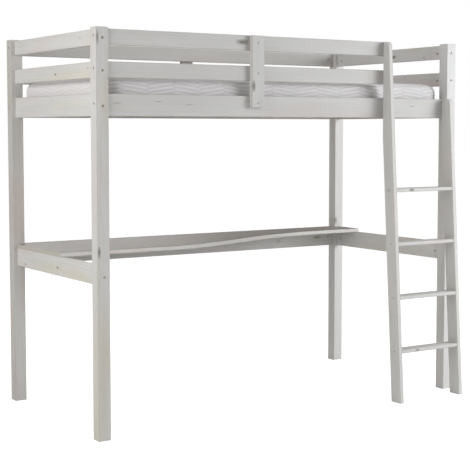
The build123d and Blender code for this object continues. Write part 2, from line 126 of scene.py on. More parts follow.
class Shader:
    """A material or a world under construction: its node tree, and short ways to fill it."""

    def __init__(self, owner: Union[bpy.types.Material, bpy.types.World]) -> None:
        """Empty the node tree of a material or a world."""
        self.owner = owner
        self.owner.use_nodes = True
        self.tree = self.owner.node_tree
        self.tree.nodes.clear()

    def node(self, kind: str, settings: Optional[dict] = None,
             inputs: Optional[dict] = None) -> bpy.types.Node:
        """Add a node.

        Args:
            kind: The node's type.
            settings: The node's properties, set before its sockets.
            inputs: Values, sockets or Nums, by the socket's name or number.

        Returns:
            The node.
        """
        made = self.tree.nodes.new(kind)
        for name, value in (settings or {}).items():
            setattr(made, name, value)
        for name, value in (inputs or {}).items():
            if isinstance(value, Num):
                value = value.socket
            if isinstance(value, bpy.types.NodeSocket):
                self.tree.links.new(value, made.inputs[name])
            else:
                made.inputs[name].default_value = value
        return made

    def math(self, operation: str, first: Number, second: Number) -> Num:
        """A Math node on two numbers."""
        made = self.node("ShaderNodeMath", {"operation": operation}, {0: first, 1: second})
        return Num(self, made.outputs[0])

    def lowest(self, first: Number, second: Number) -> Num:
        """The lower of two numbers."""
        return self.math("MINIMUM", first, second)

    def highest(self, first: Number, second: Number) -> Num:
        """The higher of two numbers."""
        return self.math("MAXIMUM", first, second)

    def clamp(self, value: Number) -> Num:
        """A number held between 0 and 1."""
        return self.lowest(self.highest(value, 0.0), 1.0)

    def ripple(self, value: Num, pitch: float) -> Num:
        """A wave from 0 to 1 that comes round once in each pitch."""
        return self.math("SINE", value * (2 * math.pi / pitch), 0.0) * 0.5 + 0.5

    def ease(self, value: Number, low: float, high: float) -> Num:
        """Make a smooth step from 0 to 1.

        Args:
            value: What it follows.
            low: Where the step is 0; it may be above high.
            high: Where the step is 1.

        Returns:
            The step.
        """
        flipped = low > high
        made = self.node("ShaderNodeMapRange", {"interpolation_type": "SMOOTHSTEP"}, {
            "Value": value, "From Min": min(low, high), "From Max": max(low, high),
            "To Min": 1.0 if flipped else 0.0, "To Max": 0.0 if flipped else 1.0})
        return Num(self, made.outputs[0])

    def parts(self, output: str) -> tuple[Num, Num, Num]:
        """Split an output of the Texture Coordinate node.

        Args:
            output: The output's name.

        Returns:
            Its X, Y and Z.
        """
        source = self.node("ShaderNodeTexCoord")
        split = self.node("ShaderNodeSeparateXYZ", None, {0: source.outputs[output]})
        return tuple(Num(self, part) for part in split.outputs)

    def place(self) -> tuple[Num, Num, Num]:
        """The surface point's X, Y and Z in the piece's own coordinates."""
        return self.parts("Object")

    def facing(self, axis: "Grain") -> Num:
        """1 where the surface faces squarely along an axis, and 0 where it doesn't."""
        return self.ease(abs(self.parts("Normal")[axis.value]), 0.7, 0.95)

    def vector(self, x: Number, y: Number, z: Number) -> bpy.types.NodeSocket:
        """Three numbers as one vector."""
        return self.node("ShaderNodeCombineXYZ", None, {0: x, 1: y, 2: z}).outputs[0]

    def noise(self, where: bpy.types.NodeSocket, scale: float = 1.0, detail: float = 2.0,
              roughness: float = 0.5) -> Num:
        """Cloudy noise from 0 to 1.

        Args:
            where: The vector that it reads.
            scale: Size of the pattern, larger is finer.
            detail: Octaves.
            roughness: Share of the finer octaves.

        Returns:
            The noise.
        """
        made = self.node("ShaderNodeTexNoise", None, {
            "Vector": where, "Scale": scale, "Detail": detail, "Roughness": roughness})
        return Num(self, made.outputs["Fac"])

    def mix(self, share: Number, first: Paint, second: Paint) -> bpy.types.NodeSocket:
        """Mix two colours.

        Args:
            share: 0 gives the first, 1 the second.
            first: A colour or a colour socket.
            second: A colour or a colour socket.

        Returns:
            The mixed colour's socket.
        """
        made = self.node("ShaderNodeMix", {"data_type": "RGBA"}, {0: share, 6: first, 7: second})
        return made.outputs[2]

    def close(self, colour: Paint, roughness: Number, relief: Num, relief_height: float,
              **shader_values: float) -> bpy.types.Material:
        """Finish with a Principled shader.

        Args:
            colour: Base colour.
            roughness: Roughness.
            relief: Height of the fine relief, 0 to 1.
            relief_height: Depth of that relief in metres.
            shader_values: Other inputs, with underscores for the spaces of their names.

        Returns:
            The material.
        """
        bump = self.node("ShaderNodeBump", None, {
            "Strength": 1.0, "Distance": relief_height, "Height": relief})
        inputs = {"Base Color": colour, "Roughness": roughness, "Normal": bump.outputs[0]}
        inputs.update({name.replace("_", " "): value for name, value in shader_values.items()})
        principled = self.node("ShaderNodeBsdfPrincipled", None, inputs)
        self.node("ShaderNodeOutputMaterial", None, {0: principled.outputs[0]})
        return self.owner

    def by_viewer(self, lighting: bpy.types.Node, seen: bpy.types.Node, output: str) -> None:
        """Finish a studio surface that looks whiter than the light that it gives.

        Args:
            lighting: The shader that lights the object.
            seen: The shader that the picture shows.
            output: The type of the output node.
        """
        path = self.node("ShaderNodeLightPath")
        mixed = self.node("ShaderNodeMixShader", None, {
            0: path.outputs["Is Camera Ray"], 1: lighting.outputs[0], 2: seen.outputs[0]})
        self.node(output, None, {0: mixed.outputs[0]})


# ---------------------------------------------------------------- finishes

class Grain(Enum):
    """The axis that a piece's grain, or a knot in it, runs along."""
    X = 0
    Y = 1
    Z = 2


@dataclass(frozen=True)
class Knot:
    """A knot: its middle along and across the face, its half length and width, all in metres."""
    along: float
    across: float
    half_length: float
    half_width: float
    dark: float = 0.7


@dataclass(frozen=True)
class ChanceKnots:
    """What the small knots that a tree puts anywhere are drawn from, in metres and shares."""
    half_width: tuple[float, float] = (0.004, 0.009)
    stretch: tuple[float, float] = (1.4, 2.4)
    dark: tuple[float, float] = (0.12, 0.35)
    from_end: float = 0.06
    spread: float = 0.7


@dataclass(frozen=True)
class Streaks:
    """Noise drawn out along the grain: its fineness along and across it, and its octaves."""
    along: float
    across: float
    detail: float
    roughness: float = 0.5


@dataclass(frozen=True)
class Timber:
    """One piece of wood: its node, grain, the axis that its knots run through, and its marks.

    A higher tone is paler. Warm and rosy scale its cream and pink patches, shade paints an even
    shade over it all, and the face shade paints shade only on the faces that its knots run through.
    Lean is how far a leaning piece goes back for each metre up, and stave is the width of a glued
    board's strips.
    """
    node: str
    grain: Grain
    through: Grain
    knots: tuple[Knot, ...] = ()
    tone: float = 0.0
    warm: float = 0.5
    rosy: float = 0.5
    # Shares of painted shade: over the whole piece, and on the faces that its knots run through.
    shade: float = 0.0
    painted_face_shade: float = 0.0
    lean: float = 0.0
    stave: float = 0.0
    chance_knots: int = 1

    @property
    def across(self) -> Grain:
        """The axis across the face that shows the knots."""
        return Grain(3 - self.grain.value - self.through.value)


class WoodShader(Shader):
    """A wooden piece's material: its directions in the grain, its knots and its edges."""

    farthest_shift = 50.0
    stave_shift_across = 0.09
    stave_shift_along = 40.0
    knot_rim = (1.7, 0.5)
    knot_heart = (0.5, 0.0)
    knot_reach = 0.35

    def __init__(self, finish: str, timber: Timber) -> None:
        """Start a piece's material and find its directions.

        Args:
            finish: The finish's name.
            timber: The piece.
        """
        super().__init__(bpy.data.materials.new(f"{finish}_{timber.node}"))
        self.timber = timber
        self.luck = seeded(timber.node)
        self.low, self.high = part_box(timber.node)
        self.middle = (self.low + self.high) / 2
        self.half = (self.high - self.low) / 2
        place = list(self.place())
        if timber.lean:
            place[Grain.Y.value] = place[Grain.Y.value] - place[Grain.Z.value] * timber.lean
        self.along = place[timber.grain.value]
        self.across = place[timber.across.value] - self.middle[timber.across.value]
        self.deep = place[timber.through.value] - self.middle[timber.through.value]
        if timber.stave:
            self.split_staves()

    def split_staves(self) -> None:
        """Give each stave of a glued board its own stretch of grain."""
        number = self.math("FLOOR", self.across / self.timber.stave, 0.0)
        pick = self.node("ShaderNodeTexWhiteNoise", {"noise_dimensions": "1D"}, {"W": number})
        shift = Num(self, pick.outputs["Value"])
        self.across = self.across + (shift - 0.5) * self.stave_shift_across
        self.along = self.along + shift * self.stave_shift_along

    def streaks(self, kind: Streaks, shifted: bool = True) -> Num:
        """Add noise drawn out along the grain.

        Args:
            kind: The streaks.
            shifted: Whether this piece has its own stretch of them.

        Returns:
            The noise, 0 to 1.
        """
        along = self.along * kind.along
        if shifted:
            along = along + self.luck.uniform(0, self.farthest_shift)
        where = self.vector(along, self.across * kind.across, self.deep * kind.across)
        return self.noise(where, detail=kind.detail, roughness=kind.roughness)

    def all_knots(self) -> list[Knot]:
        """List the piece's known knots and draw its chance ones.

        Returns:
            The knots.
        """
        timber, chance = self.timber, ChanceKnots()
        start = self.low[timber.grain.value] + chance.from_end
        stop = self.high[timber.grain.value] - chance.from_end
        middle, half = self.middle[timber.across.value], self.half[timber.across.value]
        knots = list(timber.knots)
        for _ in range(timber.chance_knots):
            width = self.luck.uniform(*chance.half_width)
            knots.append(Knot(self.luck.uniform(start, stop),
                              middle + self.luck.uniform(-chance.spread, chance.spread) * half,
                              width * self.luck.uniform(*chance.stretch), width,
                              self.luck.uniform(*chance.dark)))
        return knots

    def knot_marks(self) -> tuple[Num, Num, Num]:
        """Find how much each point bends round, lies in, or is at the heart of a knot.

        Returns:
            Bulge of the rings, knot and knot's heart, each from 0 to about 1.
        """
        middle = self.middle[self.timber.across.value]
        bulge = ring = heart = self.math("ADD", 0.0, 0.0)
        for knot in self.all_knots():
            x = (self.along - knot.along) / knot.half_length
            y = (self.across - (knot.across - middle)) / knot.half_width
            far = x * x + y * y
            bulge = self.highest(bulge, 1 / (1 + far * self.knot_reach))
            ring = self.highest(ring, self.ease(far, *self.knot_rim) * knot.dark)
            heart = self.highest(heart, self.ease(far, *self.knot_heart) * knot.dark)
        return bulge, ring, heart

    def worn_edges(self, start: float, stop: float) -> Num:
        """Find the worn long edges from the size of the piece's box.

        Args:
            start: Distance from the box's sides at which the wear begins.
            stop: Distance from them at which it is full.

        Returns:
            1 on the long edges, and 0 away from them.
        """
        half_across = self.half[self.timber.across.value]
        half_deep = self.half[self.timber.through.value]
        near_across = self.ease(abs(self.across), half_across - start, half_across - stop)
        near_deep = self.ease(abs(self.deep), half_deep - start, half_deep - stop)
        return near_across * near_deep


@dataclass(frozen=True)
class WashedPine:
    """Knotty pine under a thin, matt, grey-white wash.

    A "show" is how strongly a mark comes through the wash.
    """
    wash: Colour = srgb(212, 211, 209)
    wood: Colour = srgb(174, 170, 160)
    cream: Colour = srgb(211, 206, 193)
    rose: Colour = srgb(213, 203, 199)
    knot: Colour = srgb(102, 97, 80)
    # Painted shade: the dark colour mixed in to paint shade over a whole piece or over the faces
    # its knots run through.
    painted_shade: Colour = srgb(118, 112, 106)
    end: Colour = srgb(172, 166, 152)
    cream_tint: tuple[float, float] = (0.52, 0.72)
    rose_tint: tuple[float, float] = (0.50, 0.30)
    sway: Streaks = Streaks(1.3, 5.0, 3.0)
    sway_deep: Streaks = Streaks(0.9, 4.0, 2.0)
    fibre: Streaks = Streaks(9.0, 520.0, 3.0, 0.6)
    brush: Streaks = Streaks(1.6, 110.0, 4.0, 0.62)
    cloud: Streaks = Streaks(2.4, 14.0, 2.0)
    tint: Streaks = Streaks(1.7, 9.0, 1.0)
    pith_far: tuple[float, float] = (0.05, 0.12)
    pith_turn: float = 0.9
    ring_sway: float = 0.05
    ring_sway_deep: float = 0.03
    ring_bulge: float = 0.012
    ring_pitch: float = 0.0052
    late_power: float = 2.2
    wash_cover: float = 0.80
    late_show: float = 0.09
    brush_show: float = 0.42
    fibre_show: float = 0.18
    cloud_show: float = 0.36
    edge_show: float = 0.35
    edge_start: float = 0.0045
    edge_stop: float = 0.0008
    knot_show: float = 0.5
    heart_show: float = 0.75
    end_show: float = 0.55
    end_late_show: float = 0.35
    roughness: float = 0.60
    relief: float = 0.00028
    reflection: float = 0.32

    def material(self, timber: Timber) -> bpy.types.Material:
        """Make the finish for one piece of wood.

        Args:
            timber: The piece.

        Returns:
            Its material.
        """
        shader = WoodShader("washed_pine", timber)
        sway = shader.streaks(self.sway)
        sway_deep = shader.streaks(self.sway_deep)
        bulge, knots, heart = shader.knot_marks()
        wave = self.rings(shader, sway, sway_deep, bulge)
        late = wave ** self.late_power
        fibre = shader.streaks(self.fibre, shifted=False)
        brush = shader.streaks(self.brush)
        cloud = shader.streaks(self.cloud)
        tint = shader.streaks(self.tint)

        bare = (1 - self.wash_cover) + late * self.late_show + (brush - 0.5) * self.brush_show
        bare = bare + (fibre - 0.5) * self.fibre_show + (cloud - 0.5) * self.cloud_show
        edges = shader.worn_edges(self.edge_start, self.edge_stop)
        bare = shader.clamp(bare + edges * self.edge_show - timber.tone)

        creamy = shader.ease(tint, *self.cream_tint) * timber.warm
        rosy = shader.ease(tint, *self.rose_tint) * timber.rosy
        # Painted shade share: the faces that the knots run through, and whole pieces, are darkened
        # toward the painted shade colour.
        dull = shader.facing(timber.through) * timber.painted_face_shade + timber.shade
        ends = shader.facing(timber.grain) * (self.end_show + late * self.end_late_show)
        colour = self.wash
        for share, paint in ((creamy, self.cream), (rosy, self.rose), (bare, self.wood),
                             (dull, self.painted_shade), (knots * self.knot_show, self.knot),
                             (heart * self.heart_show, self.knot), (ends, self.end)):
            colour = shader.mix(share, colour, paint)
        roughness = self.roughness + (fibre - 0.5) * 0.16 + bare * 0.10 - knots * 0.10
        relief = fibre * 0.35 + brush * 0.35 + wave * 0.10 + knots * 0.25
        return shader.close(colour, roughness, relief, self.relief,
                            Specular_IOR_Level=self.reflection)

    def rings(self, shader: WoodShader, sway: Num, sway_deep: Num, bulge: Num) -> Num:
        """Cut the growth rings about a pith that lies outside the piece.

        Args:
            shader: The material under construction.
            sway: Sway of the rings across the face.
            sway_deep: Sway of the rings through the piece.
            bulge: Bulge of the rings round the knots.

        Returns:
            A wave, 1 in the middle of each ring's late wood.
        """
        far = shader.luck.uniform(*self.pith_far)
        turn = shader.luck.uniform(-self.pith_turn, self.pith_turn)
        x = shader.across + (sway - 0.5) * self.ring_sway - far * math.sin(turn)
        y = shader.deep + (sway_deep - 0.5) * self.ring_sway_deep - far * math.cos(turn)
        radius = (x * x + y * y) ** 0.5 + bulge * self.ring_bulge
        return shader.ripple(radius, self.ring_pitch)


@dataclass(frozen=True)
class BarePine:
    """Planed pine with no finish, as used for the slats and the dowels."""
    early: Colour = srgb(224, 204, 168)
    late: Colour = srgb(198, 166, 120)
    knot: Colour = srgb(120, 76, 42)
    sway: Streaks = Streaks(1.5, 6.0, 3.0)
    fibre: Streaks = Streaks(10.0, 600.0, 3.0)
    pith_aside: float = 0.05
    pith_below: tuple[float, float] = (0.02, 0.07)
    ring_sway: float = 0.04
    ring_bulge: float = 0.010
    ring_pitch: float = 0.006
    late_power: float = 2.0
    roughness: float = 0.62
    relief: float = 0.0003
    reflection: float = 0.3

    def material(self, timber: Timber) -> bpy.types.Material:
        """Make the finish for one piece of wood.

        Args:
            timber: The piece.

        Returns:
            Its material.
        """
        shader = WoodShader("bare_pine", timber)
        sway = shader.streaks(self.sway)
        bulge, knots, heart = shader.knot_marks()
        aside = shader.luck.uniform(-self.pith_aside, self.pith_aside)
        x = shader.across + (sway - 0.5) * self.ring_sway - aside
        y = shader.deep - shader.luck.uniform(*self.pith_below)
        radius = (x * x + y * y) ** 0.5 + bulge * self.ring_bulge
        wave = shader.ripple(radius, self.ring_pitch)
        fibre = shader.streaks(self.fibre, shifted=False)
        share = wave ** self.late_power * 0.55 + (fibre - 0.5) * 0.35 + (sway - 0.5) * 0.3
        colour = shader.mix(shader.clamp(share), self.early, self.late)
        colour = shader.mix(shader.highest(knots * 0.7, heart), colour, self.knot)
        relief = fibre * 0.6 + wave * 0.4
        return shader.close(colour, self.roughness + (fibre - 0.5) * 0.2, relief, self.relief,
                            Specular_IOR_Level=self.reflection)


@dataclass(frozen=True)
class Plated:
    """Plated steel: its colour with faint stains, turning lines and a dull grain."""
    name: str
    colour: Colour
    stain: Colour
    roughness: float
    metallic: float = 1.0
    stain_scale: float = 160.0
    stain_edge: tuple[float, float] = (0.42, 0.72)
    scratches: tuple[float, float] = (300.0, 2600.0)
    relief: float = 0.00008

    def material(self) -> bpy.types.Material:
        """Make the finish.

        Returns:
            The material.
        """
        shader = Shader(bpy.data.materials.new(self.name))
        x, y, z = shader.place()
        flat, upright = self.scratches
        stains = shader.noise(shader.vector(x, y, z), scale=self.stain_scale, detail=3.0)
        scratches = shader.noise(shader.vector(x * flat, y * flat, z * upright), detail=2.0)
        colour = shader.mix(shader.ease(stains, *self.stain_edge), self.colour, self.stain)
        roughness = self.roughness + (stains - 0.5) * 0.3 + (scratches - 0.5) * 0.12
        relief = scratches * 0.6 + stains * 0.4
        return shader.close(colour, roughness, relief, self.relief, Metallic=self.metallic)


@dataclass(frozen=True)
class QuiltedCover:
    """The mattress cover: a pale knit, with a painted highlight on the crests of its quilting and
    painted shade in its valleys.
    """
    painted_crest_highlight: Colour = srgb(226, 223, 222)
    painted_valley_shade: Colour = srgb(204, 200, 199)
    heather: Colour = srgb(212, 210, 211)
    heather_share: float = 0.28
    stitch: float = 0.0016
    fluff_scale: float = 420.0
    mottle_scale: float = 9.0
    roughness: float = 0.88
    relief: float = 0.0004
    sheen: float = 0.25
    reflection: float = 0.2

    def material(self) -> bpy.types.Material:
        """Make the finish.

        Returns:
            The material.
        """
        shader = Shader(bpy.data.materials.new("quilted_cover"))
        quilt = shader.node("ShaderNodeAttribute", {"attribute_name": QUILT_ATTRIBUTE})
        height = Num(shader, quilt.outputs["Fac"])
        x, y, z = shader.place()
        rows = shader.ripple(x + y, self.stitch)
        loops = shader.ripple(z + (x - y) * 0.5, self.stitch)
        fluff = shader.noise(shader.vector(x, y, z), scale=self.fluff_scale, detail=3.0)
        mottle = shader.noise(shader.vector(x, y, z), scale=self.mottle_scale, detail=2.0)
        # Painted highlight on the quilt's crests and painted shade in its valleys, following the
        # quilt's height.
        colour = shader.mix(shader.ease(height, 0.12, 0.85), self.painted_valley_shade, self.painted_crest_highlight)
        speck = (fluff - 0.5) * 0.5 + (mottle - 0.5) * 0.4 + self.heather_share
        colour = shader.mix(shader.clamp(speck), colour, self.heather)
        relief = rows * loops * 0.6 + fluff * 0.4
        return shader.close(colour, self.roughness + (fluff - 0.5) * 0.1, relief, self.relief,
                            Sheen_Weight=self.sheen, Specular_IOR_Level=self.reflection)


@dataclass(frozen=True)
class Binding:
    """The woven tape that binds the mattress's rims."""
    colour: Colour = srgb(218, 215, 214)
    shade: Colour = srgb(190, 187, 187)
    rib: float = 0.0022
    fluff_scale: float = 500.0
    roughness: float = 0.85
    relief: float = 0.0004
    reflection: float = 0.2

    def material(self) -> bpy.types.Material:
        """Make the finish.

        Returns:
            The material.
        """
        shader = Shader(bpy.data.materials.new("binding_tape"))
        x, y, z = shader.place()
        ribs = shader.ripple(x + y, self.rib)
        fluff = shader.noise(shader.vector(x, y, z), scale=self.fluff_scale, detail=2.0)
        colour = shader.mix(ribs * 0.5 + (fluff - 0.5) * 0.4, self.colour, self.shade)
        relief = ribs * 0.7 + fluff * 0.3
        return shader.close(colour, self.roughness + (fluff - 0.5) * 0.1, relief, self.relief,
                            Specular_IOR_Level=self.reflection)


@dataclass(frozen=True)
class PaleFloor:
    """The studio's white floor, which looks whiter than the light that it throws back."""
    bounce: Colour = (0.85, 0.85, 0.85, 1.0)
    seen: Colour = (0.30, 0.30, 0.30, 1.0)
    glow: float = 0.985

    def material(self) -> bpy.types.Material:
        """Make the finish.

        Returns:
            The material.
        """
        shader = Shader(bpy.data.materials.new("pale_floor"))
        bounce = shader.node("ShaderNodeBsdfDiffuse", None, {"Color": self.bounce})
        seen = shader.node("ShaderNodeBsdfDiffuse", None, {"Color": self.seen})
        glow = shader.node("ShaderNodeEmission", None, {"Strength": self.glow})
        both = shader.node("ShaderNodeAddShader", None, {0: seen.outputs[0], 1: glow.outputs[0]})
        shader.by_viewer(bounce, both, "ShaderNodeOutputMaterial")
        return shader.owner


# ---------------------------------------------------------------- helpers

def cover(mesh: bpy.types.Mesh, material: bpy.types.Material) -> None:
    """Give a mesh one finish all over."""
    mesh.materials.clear()
    mesh.materials.append(material)


def dress(node: str, material: bpy.types.Material) -> None:
    """Give a CAD node its finish, and report it."""
    cover(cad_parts[node].data, material)
    log.info("%s dressed with %s", node, material.name)


def deselect_all() -> None:
    """Leave nothing selected, so that an operator acts only on what is chosen next."""
    for piece in bpy.context.selected_objects:
        piece.select_set(False)


def choose(piece: bpy.types.Object) -> None:
    """Select one piece alone and make it the active one.

    Args:
        piece: The piece that the next operator acts on.
    """
    deselect_all()
    piece.select_set(True)
    bpy.context.view_layer.objects.active = piece


def coordinates(piece: bpy.types.Object) -> np.ndarray:
    """Read the places of a mesh's vertices.

    Args:
        piece: The mesh's object.

    Returns:
        One row for each vertex.
    """
    flat = np.empty(len(piece.data.vertices) * 3, np.float32)
    piece.data.vertices.foreach_get("co", flat)
    return flat.reshape(-1, 3).astype(float)


def move_vertices(piece: bpy.types.Object, places: np.ndarray) -> None:
    """Put a mesh's vertices at new places, one row each."""
    piece.data.vertices.foreach_set("co", places.astype(np.float32).ravel())
    piece.data.update()


# ---------------------------------------------------------------- frame

@dataclass
class Joinery:
    """An assembly of wooden pieces under one finish."""
    finish: Union[WashedPine, BarePine] = WashedPine()

    def timbers(self) -> Iterator[Timber]:
        """Name the assembly's pieces one by one."""
        raise NotImplementedError

    def dress(self) -> None:
        """Give each piece its finish."""
        for timber in self.timbers():
            dress(timber.node, self.finish.material(timber))


@dataclass
class Posts(Joinery):
    """The four posts, upright grain, with the knots that show on them."""

    def timbers(self) -> Iterator[Timber]:
        """Name the four posts."""
        front_left = (Knot(1.706, -0.9935, 0.030, 0.0052, 0.8),
                      Knot(0.808, -0.9925, 0.024, 0.0062, 1.0))
        back_right = (Knot(0.806, 0.951, 0.020, 0.0075, 0.8),)
        # Shade here is painted shade: a touch on the front left post, and more on the back left
        # one.
        yield Timber("post_front_left", Grain.Z, Grain.Y, front_left, warm=1.0, shade=0.03,
                     chance_knots=0)
        yield Timber("post_front_right", Grain.Z, Grain.Y, tone=0.10, warm=0.0, rosy=0.1,
                     chance_knots=0)
        yield Timber("post_back_left", Grain.Z, Grain.X, warm=1.0, rosy=0.9, shade=0.22,
                     chance_knots=0)
        yield Timber("post_back_right", Grain.Z, Grain.Y, back_right, tone=0.06, warm=0.0,
                     rosy=0.2, chance_knots=0)


@dataclass
class EndFrames(Joinery):
    """The four boards at each end, with grain along the bed's width."""

    def timbers(self) -> Iterator[Timber]:
        """Name the end boards, the left end's first."""
        marks = {
            "left_end_middle_rail": (Knot(0.031, 1.568, 0.010, 0.006, 1.0),),
            "left_end_desk_rail": (Knot(0.030, 0.700, 0.013, 0.006, 0.9),),
            "right_end_top_rail": (Knot(0.017, 1.7046, 0.026, 0.009, 1.0),),
        }
        for side, warm in (("left", 1.0), ("right", 0.6)):
            for level in ("top_rail", "middle_rail", "bed_rail", "desk_rail"):
                node = f"{side}_end_{level}"
                yield Timber(node, Grain.Y, Grain.X, marks.get(node, ()), warm=warm, rosy=1.0)


@dataclass
class LongRails(Joinery):
    """The side rails, guards, desk back rail and the two battens."""

    def timbers(self) -> Iterator[Timber]:
        """Name the front boards, the back boards and the battens."""
        marks = {
            "desk_back_rail": (Knot(0.835, 0.712, 0.030, 0.012, 0.55),),
            "front_guard_top": (Knot(-0.270, 1.713, 0.031, 0.0115, 1.0),),
            "front_side_rail": (Knot(-0.899, 1.4345, 0.022, 0.0035, 0.45),
                                Knot(-0.702, 1.443, 0.020, 0.003, 0.4),
                                Knot(-0.544, 1.4315, 0.018, 0.003, 0.35),
                                Knot(0.725, 1.4366, 0.020, 0.004, 0.4)),
        }
        # Shade here is painted shade: a little on the front boards, and more on the back guards.
        for node in ("front_side_rail", "front_guard_top", "front_guard_lower"):
            yield Timber(node, Grain.X, Grain.Y, marks.get(node, ()), warm=0.15, shade=0.07,
                         chance_knots=0)
        for node in ("back_side_rail", "back_guard_top", "back_guard_lower", "desk_back_rail"):
            shade = 0.22 if "guard" in node else 0.0
            yield Timber(node, Grain.X, Grain.Y, marks.get(node, ()), tone=-0.12, warm=0.3,
                         shade=shade)
        yield Timber("front_guard_batten", Grain.Z, Grain.Y,
                     (Knot(1.518, -0.2212, 0.025, 0.0088, 1.0),), warm=0.2, shade=0.06,
                     chance_knots=0)
        # The back batten gets strong painted shade, for the shadow between the guards.
        yield Timber("back_guard_batten", Grain.Z, Grain.Y, shade=0.5)


@dataclass
class Ladder(Joinery):
    """Two leaning stiles and four steps."""
    steps: int = 4
    lean: float = math.tan(math.radians(3.74))

    def timbers(self) -> Iterator[Timber]:
        """Name the stiles, then the steps from the lowest up."""
        for side in ("left", "right"):
            yield Timber(f"ladder_stile_{side}", Grain.Z, Grain.X, tone=0.08, warm=0.25, rosy=0.2,
                         lean=self.lean, chance_knots=0)
        marks = {
            1: (Knot(0.663, 0.249, 0.014, 0.006, 0.8),),
            4: (Knot(0.659, 1.029, 0.017, 0.0065, 1.0),),
        }
        for number in range(1, self.steps + 1):
            yield Timber(f"ladder_step_{number}", Grain.X, Grain.Y, marks.get(number, ()),
                         warm=0.2, chance_knots=0)


@dataclass
class Desk(Joinery):
    """The desk board, glued from staves, with its grain along the bed."""
    finish: WashedPine = WashedPine(wash_cover=0.74, ring_pitch=0.006)
    stave: float = 0.094

    def timbers(self) -> Iterator[Timber]:
        """Name the board."""
        knots = (Knot(-0.45, 0.20, 0.02, 0.010, 0.5), Knot(0.62, 0.44, 0.02, 0.009, 0.5))
        # The top face gets painted shade, for the shade that the bed casts over the desk.
        yield Timber("desk_top", Grain.X, Grain.Z, knots, stave=self.stave, painted_face_shade=0.74,
                     rosy=0.8, chance_knots=0)


@dataclass
class Slats(Joinery):
    """The slats, left bare."""
    finish: BarePine = BarePine()
    slats: int = 14

    def timbers(self) -> Iterator[Timber]:
        """Name the slats."""
        for number in range(1, self.slats + 1):
            yield Timber(f"slat_{number:02d}", Grain.Y, Grain.Z)


@dataclass
class Cleats(Joinery):
    """The washed cleats that carry the slats."""

    def timbers(self) -> Iterator[Timber]:
        """Name the cleats."""
        for side in ("front", "back"):
            yield Timber(f"{side}_slat_cleat", Grain.X, Grain.Y)


@dataclass
class Hardware:
    """Bolts, screws, nuts, dowels and the desk's brackets."""
    olive: Plated = Plated("olive_plated", srgb(204, 199, 177), srgb(170, 164, 142), 0.5, 0.3)
    dull: Plated = Plated("dull_plated", srgb(190, 189, 186), srgb(158, 156, 151), 0.5, 0.4)
    zinc: Plated = Plated("zinc_plated", srgb(196, 196, 198), srgb(150, 150, 152), 0.36)
    wood: BarePine = BarePine()

    def dress(self) -> None:
        """Give the fasteners their finish."""
        plated = {
            self.olive: ("end_rail_bolts", "long_rail_bolts"),
            self.dull: ("batten_screws", "cleat_screws", "desk_bracket_screws",
                        "ladder_mounting_screws", "ladder_step_screws", "slat_screws"),
            self.zinc: ("barrel_nuts", "desk_brackets"),
        }
        for finish, nodes in plated.items():
            material = finish.material()
            for node in nodes:
                dress(node, material)
        dowels = Timber("wooden_dowels", Grain.Y, Grain.X)
        dress(dowels.node, self.wood.material(dowels))


# ---------------------------------------------------------------- mattress

NEVER_ZERO = 1e-9
SAME_LEVEL = 1e-5


